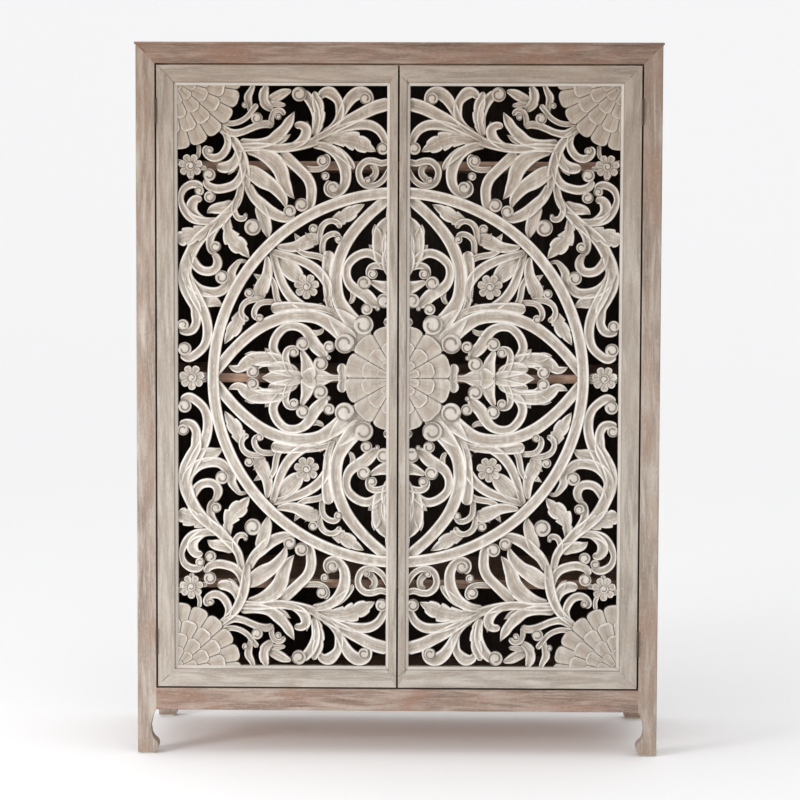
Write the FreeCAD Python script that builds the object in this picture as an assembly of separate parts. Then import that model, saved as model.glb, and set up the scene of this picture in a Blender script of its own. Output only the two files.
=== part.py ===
import FreeCAD
import Part
import math
import os

# A tall cabinet of limed mango wood with two inset doors of openwork carving.
# Millimetres, Z up. The origin is on the floor under the middle, and the doors face -Y.

Vector = FreeCAD.Vector

# Sizes of the whole carcass
carcass_width = 1000.0
carcass_depth = 412.0
overall_height = 1365.0
corner_radius = 2.5

# Face frame, posts and rails
post_width = 36.0
post_depth = 36.0
top_rail_height = 36.0
bottom_rail_height = 42.0
front_rail_depth = 23.0
rail_thickness = 20.0
rail_reveal = 3.0
tenon_length = 18.0
tenon_clearance = 1.0
tenon_thickness = 9.0
tenon_shoulder = 6.0

# Legs, cut from the foot of each post, and their glides
leg_height = 86.0
glide_thickness = 3.0
glide_width = 27.0
glide_setback = 4.5

# Top, bottom, panels and shelves
top_lip_thickness = 4.0
top_lip_front = 4.0
top_lip_side = 2.0
top_plug_thickness = 14.0
bottom_board_thickness = 16.0
groove_depth = 7.0
side_panel_thickness = 10.0
side_panel_inset = 9.0
back_panel_thickness = 6.0
back_panel_inset = 8.0
shelf_thickness = 17.0
top_compartment = 184.0
middle_compartment = 381.0
bottom_compartment = 191.0
cleat_height = 18.0
cleat_width = 16.0

# Doors
door_gap = 3.6
door_thickness = 22.0
hinge_stile_width = 39.0
meeting_stile_width = 20.0
door_top_rail_width = 38.0
door_bottom_rail_width = 40.0
bevel_width = 7.5
bevel_depth = 5.5
lip_depth = 6.5
tongue_width = 9.0

# Openwork panels
panel_thickness = 14.0
ring_radius = 364.5
ring_width = 21.5
rosette_radius = 100.0
corner_rosette_radius = 132.0
corner_rosette_overhang = 10.0
petal_depth = 4.5
tier_rise = 1.6
cut_turn = 46.0
cut_depth = 2.2

# Hinges, door stop and magnet catches
hinge_length = 50.0
hinge_end_distance = 62.0
pin_radius = 1.1
pin_proud = 1.6
barrel_radius = 2.2
running_clearance = 0.05
knuckle_gap = 0.2
leaf_thickness = 1.2
leaf_depth = 17.0
leaf_relief = 0.4
stop_height = 24.0
stop_projection = 12.0
catch_length = 36.0
catch_height = 10.0
catch_distance = 26.0
strike_thickness = 0.8
strike_margin = 6.0

# Counts
knuckle_count = 2
rosette_petals = 12
corner_petals = 20
flower_petals = 6
cuts_per_petal = 3

# The leg's inner edge from rail to floor, as shares of the post's width and the leg's height
leg_curve_shares = (
    ((1.00, 1.00), (0.80, 0.83), (0.72, 0.68)),
    ((0.72, 0.68), (0.70, 0.61), (0.72, 0.53)),
    ((0.72, 0.53), (0.82, 0.38), (0.97, 0.30)),
    ((0.97, 0.30), (1.08, 0.18), (1.00, 0.07)),
    ((1.00, 0.07), (0.95, 0.045), (0.89, 0.035)),
)

# Tiers of petals on the rosettes, as shares of the rosette's radius
rosette_tier_shares = (0.66, 0.36)
corner_tier_shares = (0.74, 0.38)

# The carving outside the ring is laid out on a grid of small squares that fills a quarter
# of the doors. Each row holds a band's centre line and its half widths in those squares.
outer_grid_shares = (423, 559)
outer_band_shares = (
    (((8, 528), (70, 506), (115, 481), (165, 455)), (12, 11, 8, 6)),
    (((122, 483), (102, 520), (75, 546), (57, 532)), (5, 9, 12, 10)),
    (((145, 468), (118, 500), (120, 540), (142, 540)), (5, 8, 11, 9)),
    (((163, 468), (154, 510), (163, 570)), (8, 14, 8)),
    (((262, 452), (222, 472), (198, 516)), (6, 9, 2)),
    (((345, 425), (270, 443), (150, 458)), (9, 8, 8)),
    (((150, 460), (80, 455), (8, 428)), (8, 17, 5)),
    (((165, 447), (118, 430), (101, 390), (112, 358), (134, 368)), (6, 10, 10, 10, 9)),
    (((8, 420), (45, 412), (74, 400), (66, 372), (46, 380)), (6, 6, 7, 7, 8)),
    (((230, 436), (188, 403), (168, 365), (180, 330)), (10, 9, 9, 12)),
    (((290, 440), (240, 415), (190, 335)), (5, 13, 3)),
    (((348, 492), (312, 450), (294, 400), (290, 360)), (9, 9, 9, 6)),
    (((292, 380), (265, 338), (232, 314), (206, 320)), (6, 8, 8, 12)),
    (((295, 390), (320, 332), (365, 285), (400, 240), (408, 215)), (6, 7, 9, 8, 8)),
    (((404, 240), (380, 208), (350, 212), (352, 245)), (7, 8, 9, 10)),
    (((408, 215), (388, 172), (350, 166), (328, 195)), (9, 9, 9, 11)),
    (((327, 315), (318, 265), (280, 225)), (6, 17, 3)),
    (((350, 290), (405, 271), (440, 255)), (8, 18, 18)),
    (((345, 302), (395, 306), (417, 342), (398, 370), (376, 352)), (5, 8, 6, 8, 10)),
    (((297, 410), (320, 370), (372, 364)), (6, 7, 10)),
    (((330, 474), (283, 475), (232, 500)), (7, 8, 11)),
    (((252, 488), (262, 536), (250, 570)), (6, 10, 7)),
    (((240, 500), (232, 530), (200, 565)), (6, 9, 10)),
    (((410, 195), (371, 112), (380, 52), (440, 48)), (10, 10, 10, 10)),
    (((412, 192), (390, 120), (414, 98)), (8, 9, 12)),
    (((355, 0), (396, 0), (440, 0)), (8, 20, 8)),
    (((360, 398), (398, 406), (440, 414)), (7, 17, 7)),
)

# Inside the ring everything is mirrored on the diagonal. The ring's radius is so many squares.
ring_grid_share = 364.5
ring_band_shares = (
    (((350, 10), (310, 58), (250, 104), (180, 119), (100, 78)), (10, 10, 11, 11, 17)),
    (((90, 0), (150, 0), (225, 0), (266, 0)), (9, 9, 16, 3)),
    (((118, 78), (140, 50), (146, 0)), (10, 10, 10)),
    (((136, 60), (172, 88), (207, 98), (238, 66), (218, 5)), (7, 8, 10, 8, 6)),
    (((225, 25), (262, 44), (335, 24)), (7, 10, 4)),
    (((140, 135), (142, 190), (180, 226), (255, 255)), (6, 6, 6, 8)),
    (((188, 188), (208, 208), (248, 248)), (8, 15, 3)),
    (((150, 288), (100, 312), (50, 342)), (6, 12, 3)),
    (((146, 225), (156, 265), (130, 302)), (7, 7, 8)),
    (((150, 250), (190, 262), (245, 248)), (6, 13, 5)),
)
flower_place_share = 173
flower_radius_share = 25

# Places worked out from the sizes
front_y = (top_lip_front - carcass_depth) / 2
back_y = front_y + carcass_depth
half_width = carcass_width / 2
frame_top = overall_height - top_lip_thickness
opening_half = half_width - post_width
opening_top = frame_top - top_rail_height
opening_bottom = leg_height + bottom_rail_height
panel_side_x = half_width - side_panel_inset - side_panel_thickness
back_inner_y = back_y - back_panel_inset - back_panel_thickness
rail_inner_x = half_width - rail_reveal - rail_thickness
rail_inner_y = back_y - rail_reveal - rail_thickness
side_tenon_length = post_depth - max(front_rail_depth, back_y - rail_inner_y) - tenon_clearance
post_back_y = front_y + post_depth
lower_shelf_height = opening_bottom + bottom_compartment
middle_shelf_height = lower_shelf_height + shelf_thickness + middle_compartment
upper_shelf_height = opening_top - top_compartment - shelf_thickness
door_inner_x = door_gap / 2
door_outer_x = opening_half - door_gap
door_bottom = opening_bottom + door_gap
door_top = opening_top - door_gap
door_back_y = front_y + door_thickness
field_inner_x = door_inner_x + meeting_stile_width
field_outer_x = door_outer_x - hinge_stile_width
field_bottom = door_bottom + door_bottom_rail_width
field_top = door_top - door_top_rail_width
carving_middle = (field_bottom + field_top) / 2
field_half_height = (field_top - field_bottom) / 2


def board(xs, ys, zs):
    """A board between two places along each axis."""
    low = Vector(xs[0], ys[0], zs[0])
    return Part.makeBox(xs[1] - xs[0], ys[1] - ys[0], zs[1] - zs[0], low)


def mirrored(shape):
    """The same piece for the other side of the cabinet."""
    return shape.mirror(Vector(0, 0, 0), Vector(1, 0, 0))


def straight_face(places):
    """A flat face with straight edges."""
    return Part.Face(Part.makePolygon(list(places) + [places[0]]))


pieces = {}

# Posts: square, with a leg cut from the foot on both inner faces and rounded outer corners


def leg_outline(place):
    """The leg's face, where place turns a distance inwards and a height into a point."""
    edges = []
    for arc in leg_curve_shares:
        start, middle, end = [place(post_width * u, leg_height * w) for u, w in arc]
        edges.append(Part.Arc(start, middle, end).toShape())
    toe_width = post_width * leg_curve_shares[-1][-1][0]
    corners = [
        place(toe_width, leg_height * leg_curve_shares[-1][-1][1]),
        place(toe_width, glide_thickness),
        place(0, glide_thickness),
        place(0, leg_height),
        place(post_width, leg_height),
    ]
    for start, end in zip(corners, corners[1:]):
        edges.append(Part.LineSegment(start, end).toShape())
    return Part.Face(Part.Wire(Part.__sortEdges__(edges)))


def toe_reach():
    """How far the toe of the leg stands out past the post's own width."""
    return post_width * max(u for arc in leg_curve_shares for u, w in arc)


def left_front_post():
    """A post with its leg, before the joints are cut."""
    outer_x = -half_width
    upper = board((outer_x, outer_x + post_width), (front_y, post_back_y), (leg_height, frame_top))
    across = leg_outline(lambda u, w: Vector(outer_x + u, front_y, w))
    along = leg_outline(lambda u, w: Vector(outer_x, front_y + u, w))
    leg = across.extrude(Vector(0, toe_reach(), 0)).common(along.extrude(Vector(toe_reach(), 0, 0)))
    return upper.fuse(leg).removeSplitter()


def carcass_envelope():
    """The carcass's outer block with its four upright edges rounded."""
    block = board((-half_width, half_width), (front_y, back_y), (0, overall_height))
    uprights = [edge for edge in block.Edges if edge.BoundBox.ZLength > overall_height / 2]
    return block.makeFillet(corner_radius, uprights)


envelope = carcass_envelope()
middle_y = (front_y + back_y) / 2
front_left = left_front_post().common(envelope)
back_left = front_left.mirror(Vector(0, middle_y, 0), Vector(0, 1, 0))
posts = {
    "front_post_left": front_left,
    "front_post_right": mirrored(front_left),
    "back_post_left": back_left,
    "back_post_right": mirrored(back_left),
}

# Front rails: the top one is mitred over the posts, the bottom one is tenoned between them
top_rail_corners = [
    Vector(-half_width, front_y, frame_top),
    Vector(half_width, front_y, frame_top),
    Vector(opening_half, front_y, opening_top),
    Vector(-opening_half, front_y, opening_top),
]
front_top_rail = straight_face(top_rail_corners).extrude(Vector(0, front_rail_depth, 0)).common(envelope)
top_heights = (opening_top, frame_top)
bottom_heights = (leg_height, opening_bottom)


def tenoned(rail, axis, zs, length):
    """A rail with a tenon on each end, set in from its faces. The axis is 0 for X and 1 for Y."""
    bounds = rail.BoundBox
    spans = [[bounds.XMin, bounds.XMax], [bounds.YMin, bounds.YMax]]
    spans[axis] = [spans[axis][0] - length, spans[axis][1] + length]
    middle = sum(spans[1 - axis]) / 2
    spans[1 - axis] = [middle - tenon_thickness / 2, middle + tenon_thickness / 2]
    tenon = board(spans[0], spans[1], (zs[0] + tenon_shoulder, zs[1] - tenon_shoulder))
    return rail.fuse(tenon).removeSplitter()


rails = {"front_top_rail": front_top_rail}
front_span = (-opening_half, opening_half)
front_bottom = board(front_span, (front_y, front_y + front_rail_depth), bottom_heights)
rails["front_bottom_rail"] = tenoned(front_bottom, 0, bottom_heights, tenon_length)
for level, heights in (("top", top_heights), ("bottom", bottom_heights)):
    back_rail = board(front_span, (rail_inner_y, back_y - rail_reveal), heights)
    rails[f"back_{level}_rail"] = tenoned(back_rail, 0, heights, tenon_length)
    left_xs = (rail_reveal - half_width, -rail_inner_x)
    side_rail = board(left_xs, (post_back_y, back_y - post_depth), heights)
    side_rail = tenoned(side_rail, 1, heights, side_tenon_length)
    rails[f"side_{level}_rail_left"] = side_rail
    rails[f"side_{level}_rail_right"] = mirrored(side_rail)

# Side and back panels, held in grooves
panel_heights = (opening_bottom - groove_depth, opening_top + groove_depth)
side_panel = board(
    (side_panel_inset - half_width, -panel_side_x),
    (post_back_y - groove_depth, back_y - post_depth + groove_depth),
    panel_heights,
)
panels = {
    "side_panel_left": side_panel,
    "side_panel_right": mirrored(side_panel),
    "back_panel": board(
        (-opening_half - groove_depth, opening_half + groove_depth),
        (back_inner_y, back_y - back_panel_inset),
        panel_heights,
    ),
}

# The joints: tenons cut their mortises and panels their grooves
for name, post in posts.items():
    for part in list(rails.values()) + list(panels.values()):
        post = post.cut(part)
    pieces[name] = post
for name, rail in rails.items():
    for panel in panels.values():
        rail = rail.cut(panel)
    pieces[name] = rail
pieces.update(panels)


# Top and bottom boards: notched round the posts


def notched(shape):
    """A board cut away where the four posts stand."""
    for sign_x in (-1, 1):
        xs = sorted((sign_x * half_width, sign_x * opening_half))
        for ys in ((front_y, post_back_y), (back_y - post_depth, back_y)):
            shape = shape.cut(board(xs, ys, (0, overall_height)))
    return shape


inside_ys = (front_y + front_rail_depth, rail_inner_y)
inside_xs = (-rail_inner_x, rail_inner_x)
top_plug = notched(board(inside_xs, inside_ys, (frame_top - top_plug_thickness, frame_top)))
top_lip = board(
    (-half_width - top_lip_side, half_width + top_lip_side),
    (front_y - top_lip_front, back_y),
    (frame_top, overall_height),
)
pieces["top_board"] = top_lip.fuse(top_plug).removeSplitter()
bottom_zs = (opening_bottom - bottom_board_thickness, opening_bottom)
pieces["bottom_board"] = notched(board(inside_xs, inside_ys, bottom_zs))

# Shelves rest on cleats along the sides
shelf_ys = (post_back_y, back_inner_y)
cleat_ys = (post_back_y, back_y - post_depth)
for name, height in (
    ("upper", upper_shelf_height),
    ("middle", middle_shelf_height),
    ("lower", lower_shelf_height),
):
    shelf = board((-panel_side_x, panel_side_x), shelf_ys, (height, height + shelf_thickness))
    pieces[f"shelf_{name}"] = notched(shelf)
    cleat_xs = (-panel_side_x, cleat_width - panel_side_x)
    cleat = board(cleat_xs, cleat_ys, (height - cleat_height, height))
    pieces[f"shelf_cleat_{name}_left"] = cleat
    pieces[f"shelf_cleat_{name}_right"] = mirrored(cleat)

# Square glides under the legs
glide_xs = (glide_setback - half_width, glide_setback + glide_width - half_width)
glide_front_ys = (front_y + glide_setback, front_y + glide_setback + glide_width)
glide_front = board(glide_xs, glide_front_ys, (0, glide_thickness))
glide_back = glide_front.mirror(Vector(0, middle_y, 0), Vector(0, 1, 0))
for end, glide in (("front", glide_front), ("back", glide_back)):
    pieces[f"glide_{end}_left"] = glide
    pieces[f"glide_{end}_right"] = mirrored(glide)

# The door stop behind the top rail, with a magnet catch under it for each door
stop_ys = (front_y + front_rail_depth, post_back_y)
stop_bottom = opening_top - stop_projection
pieces["door_stop"] = board(front_span, stop_ys, (stop_bottom, stop_bottom + stop_height))
catch_xs = (catch_distance, catch_distance + catch_length)
catch_zs = (stop_bottom - catch_height, stop_bottom)
catch = board(catch_xs, stop_ys, catch_zs)
strike_xs = (catch_xs[0] + strike_margin, catch_xs[1] - strike_margin)
strike = board(strike_xs, (door_back_y, door_back_y + strike_thickness), catch_zs)


# Door frames: four moulded bars with a bevelled inner edge and a rebate for the panel


def moulded_bar(corner, inwards, along, width, length):
    """One bar of the frame as a straight moulding, before its ends are mitred."""
    outline = [
        (0, 0),
        (width - bevel_width, 0),
        (width, bevel_depth),
        (width, lip_depth),
        (width - tongue_width, lip_depth),
        (width - tongue_width, door_thickness),
        (0, door_thickness),
    ]
    places = [corner + inwards * across + Vector(0, deep, 0) for across, deep in outline]
    return straight_face(places).extrude(along * length)


def right_door_frame():
    """The four bars of the right door by name, mitred from each outer corner to the inner one."""
    outer = [
        Vector(door_inner_x, front_y, door_bottom),
        Vector(door_outer_x, front_y, door_bottom),
        Vector(door_outer_x, front_y, door_top),
        Vector(door_inner_x, front_y, door_top),
    ]
    inner = [
        Vector(field_inner_x, front_y, field_bottom),
        Vector(field_outer_x, front_y, field_bottom),
        Vector(field_outer_x, front_y, field_top),
        Vector(field_inner_x, front_y, field_top),
    ]
    bars = {}
    for name, start, inwards, width in (
        ("bottom_rail", 0, Vector(0, 0, 1), door_bottom_rail_width),
        ("hinge_stile", 1, Vector(-1, 0, 0), hinge_stile_width),
        ("top_rail", 2, Vector(0, 0, -1), door_top_rail_width),
        ("meeting_stile", 3, Vector(1, 0, 0), meeting_stile_width),
    ):
        end = (start + 1) % len(outer)
        run = outer[end] - outer[start]
        along = Vector(run)
        along.normalize()
        bar = moulded_bar(outer[start], inwards, along, width, run.Length)
        mitre = straight_face([outer[start], outer[end], inner[end], inner[start]])
        bars[name] = bar.common(mitre.extrude(Vector(0, door_thickness, 0)))
    return bars


# Openwork panels: flat faces of the carving are joined first, then given the board's thickness


def carved_side(places):
    """A smooth curve through the given places, taken as short straight cuts of the knife."""
    curve = Part.BSplineCurve()
    curve.interpolate(places)
    return curve.toShape().discretize(Angular=math.radians(cut_turn), Curvature=cut_depth, Minimum=2)


def band(line, half_widths):
    """A carved band: two smooth sides on either hand of its centre line."""
    left, right = [], []
    for index, middle in enumerate(line):
        ahead = line[min(index + 1, len(line) - 1)] - line[max(index - 1, 0)]
        aside = Vector(-ahead.y, ahead.x, 0)
        aside.normalize()
        left.append(middle + aside * half_widths[index])
        right.append(middle - aside * half_widths[index])
    rim = carved_side(left) + carved_side(right)[::-1]
    followed = zip(rim, rim[1:] + rim[:1])
    return straight_face([place for place, after in followed if place.distanceToPoint(after) > cut_depth])


def disc(place, radius):
    """A round boss."""
    return Part.Face(Part.Wire(Part.makeCircle(radius, place)))


def petalled(place, radius, depth, count):
    """A disc whose rim is a ring of rounded petals, each cut with a few straight strokes."""
    rim = []
    strokes = count * cuts_per_petal
    for index in range(strokes):
        turn = 2 * math.pi * index / strokes
        across = (index % cuts_per_petal) / cuts_per_petal
        reach = radius - depth * (1 - math.sin(math.pi * across))
        rim.append(place + Vector(math.cos(turn) * reach, math.sin(turn) * reach, 0))
    return straight_face(rim)


def rectangle(xs, zs):
    """A flat rectangle in the plane of the carving."""
    return straight_face([
        Vector(xs[0], zs[0], 0),
        Vector(xs[1], zs[0], 0),
        Vector(xs[1], zs[1], 0),
        Vector(xs[0], zs[1], 0),
    ])


def swapped(pair):
    """A place mirrored on the diagonal of the ring."""
    return (pair[1], pair[0])


panel_xs = (field_inner_x - tongue_width, field_outer_x + tongue_width)
panel_half_height = field_half_height + tongue_width
corner_x = field_outer_x + corner_rosette_overhang
corner_place = Vector(corner_x, field_half_height + corner_rosette_overhang, 0)


def carving_quarter():
    """Every flat face of the upper right quarter of the carving."""
    square_x = field_outer_x / outer_grid_shares[0]
    square_z = field_half_height / outer_grid_shares[1]
    ring_square = ring_radius / ring_grid_share
    faces = []
    for line, widths in outer_band_shares:
        places = [Vector(a * square_x, b * square_z, 0) for a, b in line]
        faces.append(band(places, [w * square_x for w in widths]))
    for line, widths in ring_band_shares:
        for turn in (tuple, swapped):
            places = [Vector(*turn(pair), 0) * ring_square for pair in line]
            faces.append(band(places, [w * ring_square for w in widths]))
    flower = Vector(flower_place_share, flower_place_share, 0) * ring_square
    faces.append(petalled(flower, flower_radius_share * ring_square, petal_depth, flower_petals))
    middle = Vector(0, 0, 0)
    faces.append(disc(middle, ring_radius).cut(disc(middle, ring_radius - ring_width)))
    faces.append(petalled(middle, rosette_radius, petal_depth, rosette_petals))
    faces.append(petalled(corner_place, corner_rosette_radius, petal_depth, corner_petals))
    return faces


def tier(place, radius, petals, rise):
    """A raised layer of petals on a rosette, up from the middle of the board."""
    face = petalled(place, radius, petal_depth, petals)
    face.translate(Vector(0, 0, panel_thickness / 2))
    return face.extrude(Vector(0, 0, panel_thickness / 2 + rise))


def right_openwork():
    """The right door's carved panel, standing in its place."""
    faces = carving_quarter()
    quarter = faces[0].multiFuse(faces[1:])
    quarter = quarter.common(rectangle(panel_xs, (0, panel_half_height)))
    lower = quarter.mirror(Vector(0, 0, 0), Vector(0, 1, 0))
    whole = rectangle(panel_xs, (-panel_half_height, panel_half_height))
    field = rectangle((field_inner_x, field_outer_x), (-field_half_height, field_half_height))
    border = whole.cut(field)
    flat = border.multiFuse([quarter, lower]).removeSplitter()
    solid = flat.extrude(Vector(0, 0, panel_thickness))
    raised = []
    for number, share in enumerate(rosette_tier_shares, 1):
        raised.append(tier(Vector(0, 0, 0), rosette_radius * share, rosette_petals, tier_rise * number))
    for number, share in enumerate(corner_tier_shares, 1):
        upper_tier = tier(corner_place, corner_rosette_radius * share, corner_petals, tier_rise * number)
        raised.append(upper_tier)
        raised.append(upper_tier.mirror(Vector(0, 0, 0), Vector(0, 1, 0)))
    window = board(
        (field_inner_x, field_outer_x),
        (-field_half_height, field_half_height),
        (0, panel_thickness + lip_depth),
    )
    solid = solid.multiFuse([layer.common(window) for layer in raised]).removeSplitter()
    solid.rotate(Vector(0, 0, 0), Vector(1, 0, 0), 90)
    solid.translate(Vector(0, front_y + lip_depth + panel_thickness, carving_middle))
    return solid


right_door = right_door_frame()
right_door["carved_panel"] = right_openwork()
for name, piece in right_door.items():
    pieces[f"right_door_{name}"] = piece
    pieces[f"left_door_{name}"] = mirrored(piece)
for name, piece in (("magnet_catch", catch), ("strike_plate", strike)):
    pieces[f"{name}_right"] = piece
    pieces[f"{name}_left"] = mirrored(piece)

# Lift-off hinges: two leaves in the gap beside each door, with a knuckle each on a pin just
# proud of the face. The frame leaf has the lower knuckle and the door leaf the upper one.
axis_x = opening_half - door_gap / 2
axis_y = front_y - pin_proud
relief_y = axis_y + barrel_radius + leaf_relief
leaf_ys = (relief_y, axis_y + leaf_depth)
knuckle_pitch = hinge_length / knuckle_count


def hinge_leaf(xs, bottom, knuckles):
    """A leaf with its own knuckles, bored for the pin."""
    leaf = board(xs, leaf_ys, (bottom, bottom + hinge_length))
    for number in knuckles:
        low = bottom + number * knuckle_pitch + knuckle_gap / 2
        high = low + knuckle_pitch - knuckle_gap
        barrel = Part.makeCylinder(barrel_radius, high - low, Vector(axis_x, axis_y, low))
        leaf = leaf.fuse(board(xs, (axis_y, relief_y), (low, high))).fuse(barrel)
    bore_radius = pin_radius + running_clearance
    bore = Part.makeCylinder(bore_radius, hinge_length, Vector(axis_x, axis_y, bottom))
    return leaf.cut(bore).removeSplitter()


def hinge_pin(bottom):
    """A plain pin as long as the hinge."""
    return Part.makeCylinder(pin_radius, hinge_length, Vector(axis_x, axis_y, bottom))


frame_leaf_xs = (opening_half - leaf_thickness, opening_half)
door_leaf_xs = (door_outer_x, door_outer_x + leaf_thickness)
for level, bottom in (
    ("upper", door_top - hinge_end_distance - hinge_length),
    ("lower", door_bottom + hinge_end_distance),
):
    for name, piece in (
        ("frame_leaf", hinge_leaf(frame_leaf_xs, bottom, range(0, knuckle_count, 2))),
        ("door_leaf", hinge_leaf(door_leaf_xs, bottom, range(1, knuckle_count, 2))),
        ("pin", hinge_pin(bottom)),
    ):
        pieces[f"{level}_hinge_{name}_right"] = piece
        pieces[f"{level}_hinge_{name}_left"] = mirrored(piece)

os.makedirs("parts", exist_ok=True)
for name, piece in pieces.items():
    piece.exportStep(f"parts/{name}.step")
print(len(pieces), "pieces")
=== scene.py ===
"""A tall cabinet of limed mango wood whose two doors are openwork carving, dressed for its photograph."""

import math

import bmesh
import bpy
from mathutils import Matrix, Vector


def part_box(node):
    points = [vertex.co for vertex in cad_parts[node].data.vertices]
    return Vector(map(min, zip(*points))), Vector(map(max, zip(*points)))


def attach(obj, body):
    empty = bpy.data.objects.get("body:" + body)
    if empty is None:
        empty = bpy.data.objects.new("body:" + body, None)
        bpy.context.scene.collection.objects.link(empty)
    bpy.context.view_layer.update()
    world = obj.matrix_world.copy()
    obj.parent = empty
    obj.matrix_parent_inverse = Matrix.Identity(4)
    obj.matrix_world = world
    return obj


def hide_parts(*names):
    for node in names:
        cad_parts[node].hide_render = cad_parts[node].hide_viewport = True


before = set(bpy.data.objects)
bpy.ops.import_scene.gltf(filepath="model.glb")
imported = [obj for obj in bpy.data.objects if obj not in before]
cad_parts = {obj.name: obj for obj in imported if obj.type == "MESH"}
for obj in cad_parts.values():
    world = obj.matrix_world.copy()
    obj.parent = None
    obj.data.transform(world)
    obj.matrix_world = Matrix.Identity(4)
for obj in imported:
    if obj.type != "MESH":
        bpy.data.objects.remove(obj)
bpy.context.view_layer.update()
mm = 0.001

# Posts and rails
# Square mango wood posts with legs cut from the foot, and rails tenoned between them. The wood
# is wire brushed, stained brown, then limed: the white stays in the grain and in pale clouds.

figure_size = (14 * mm, 130 * mm)
fibre_size = (2.2 * mm, 34 * mm)
cloud_size = (70 * mm, 150 * mm)
pore_size = (0.9 * mm, 9 * mm)
speck_size = (3 * mm, 7 * mm)
# Painted shade towards the top: the height where it starts and where it is full, in metres.
top_shade_starts = 0.7
top_shade_full = 1.33
# The bead's painted highlight, and the painted shade line in the groove just beyond it.
bead_highlight_softness = 1.0 * mm
groove_shade_offset = 0.9 * mm
groove_shade_reach = 1.3 * mm
mitre_reach = 1.1 * mm
line_core = 0.3 * mm
mitre_breaks = 11 * mm


def colour(code):
    """An sRGB hex code as the linear colour that a shader takes."""
    channels = [int(code[start:start + 2], 16) / 255 for start in (1, 3, 5)]
    return [c / 12.92 if c <= 0.04045 else ((c + 0.055) / 1.055) ** 2.4 for c in channels] + [1]


def feed(tree, node, inputs):
    """Puts a value or a link on each of a node's inputs, by name or number, or in their order."""
    for key, value in inputs.items() if isinstance(inputs, dict) else enumerate(inputs):
        if isinstance(value, bpy.types.NodeSocket):
            tree.links.new(value, node.inputs[key])
        else:
            node.inputs[key].default_value = value


def add(tree, kind, inputs=(), output=0, **settings):
    """Adds a node with its settings and its inputs, and gives one of its outputs."""
    made = tree.nodes.new(kind)
    for key, value in settings.items():
        setattr(made, key, value)
    feed(tree, made, inputs)
    return made.outputs[output] if made.outputs else None


def noise(tree, place, sizes, detail=3.0, distortion=0.0):
    """A cloudy pattern whose features have about the given real size along X, Y and Z."""
    spot = add(tree, "ShaderNodeMapping", {"Vector": place, "Scale": [1 / size for size in sizes]})
    inputs = {"Vector": spot, "Scale": 1.0, "Detail": detail, "Distortion": distortion}
    return add(tree, "ShaderNodeTexNoise", inputs, "Fac")


def glazed(tree, shade, *coats):
    """A colour under coats. Each is thickest, up to its share, where its pattern reaches full."""
    for pattern, none, full, share, tone in coats:
        cover = add(tree, "ShaderNodeMapRange", [pattern, none, full, 0.0, share])
        shade = add(tree, "ShaderNodeMix", {0: cover, 6: shade, 7: tone}, 2, data_type="RGBA")
    return shade


def new_material(name):
    """An empty material with its shader and the place on the object that patterns read."""
    material = bpy.data.materials.new(name)
    material.use_nodes = True
    tree = material.node_tree
    return material, tree, tree.nodes["Principled BSDF"], add(tree, "ShaderNodeTexCoord", (), "Object")


def grained(tree, place, grain, tones, fibres=fibre_size):
    """Wood colour with its figure along one axis, and the fibre's height for the bump."""
    def along(size, detail, distortion=0.0):
        return noise(tree, place, [size[axis == grain] for axis in range(3)], detail, distortion)

    dark, middle, light, stain = [colour(code) for code in tones]
    figure = along(figure_size, 5.0, 0.8)
    fibre = along(fibres, 5.0)
    cloud = along(cloud_size, 3.0, 0.8)
    pores = along(pore_size, 2.0)
    speck = along(speck_size, 4.0)
    bare = glazed(tree, dark, (figure, 0.30, 0.55, 1.0, middle), (figure, 0.50, 0.72, 1.0, light),
                  (cloud, 0.48, 0.66, 0.75, stain))
    brushed = add(tree, "ShaderNodeMapRange", [fibre, 0.50, 0.68])
    clear = add(tree, "ShaderNodeMapRange", [cloud, 0.62, 0.35, 0.25, 0.8])
    limed = add(tree, "ShaderNodeMath", [brushed, clear], operation="MULTIPLY")
    shade = glazed(tree, bare, (limed, 0.0, 1.0, 1.0, light), (speck, 0.55, 0.72, 0.5, light),
                   (speck, 0.45, 0.28, 0.4, dark), (pores, 0.60, 0.74, 0.45, dark))
    holes = add(tree, "ShaderNodeMapRange", [pores, 0.58, 0.72])
    return shade, add(tree, "ShaderNodeMath", [fibre, holes], operation="SUBTRACT")


def darkened_towards_top(tree, place, shade, share=0.9):
    """The colour, darker and browner towards the top: painted shade for the light falling off upwards."""
    height = add(tree, "ShaderNodeSeparateXYZ", [place], "Z")
    cover = add(tree, "ShaderNodeMapRange", [height, top_shade_starts, top_shade_full, 0.0, share])
    # The tone of the painted shade, multiplied over the colour.
    inputs = {0: cover, 6: shade, 7: colour("#D6CDC4")}
    return add(tree, "ShaderNodeMix", inputs, 2, data_type="RGBA", blend_type="MULTIPLY")


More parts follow.
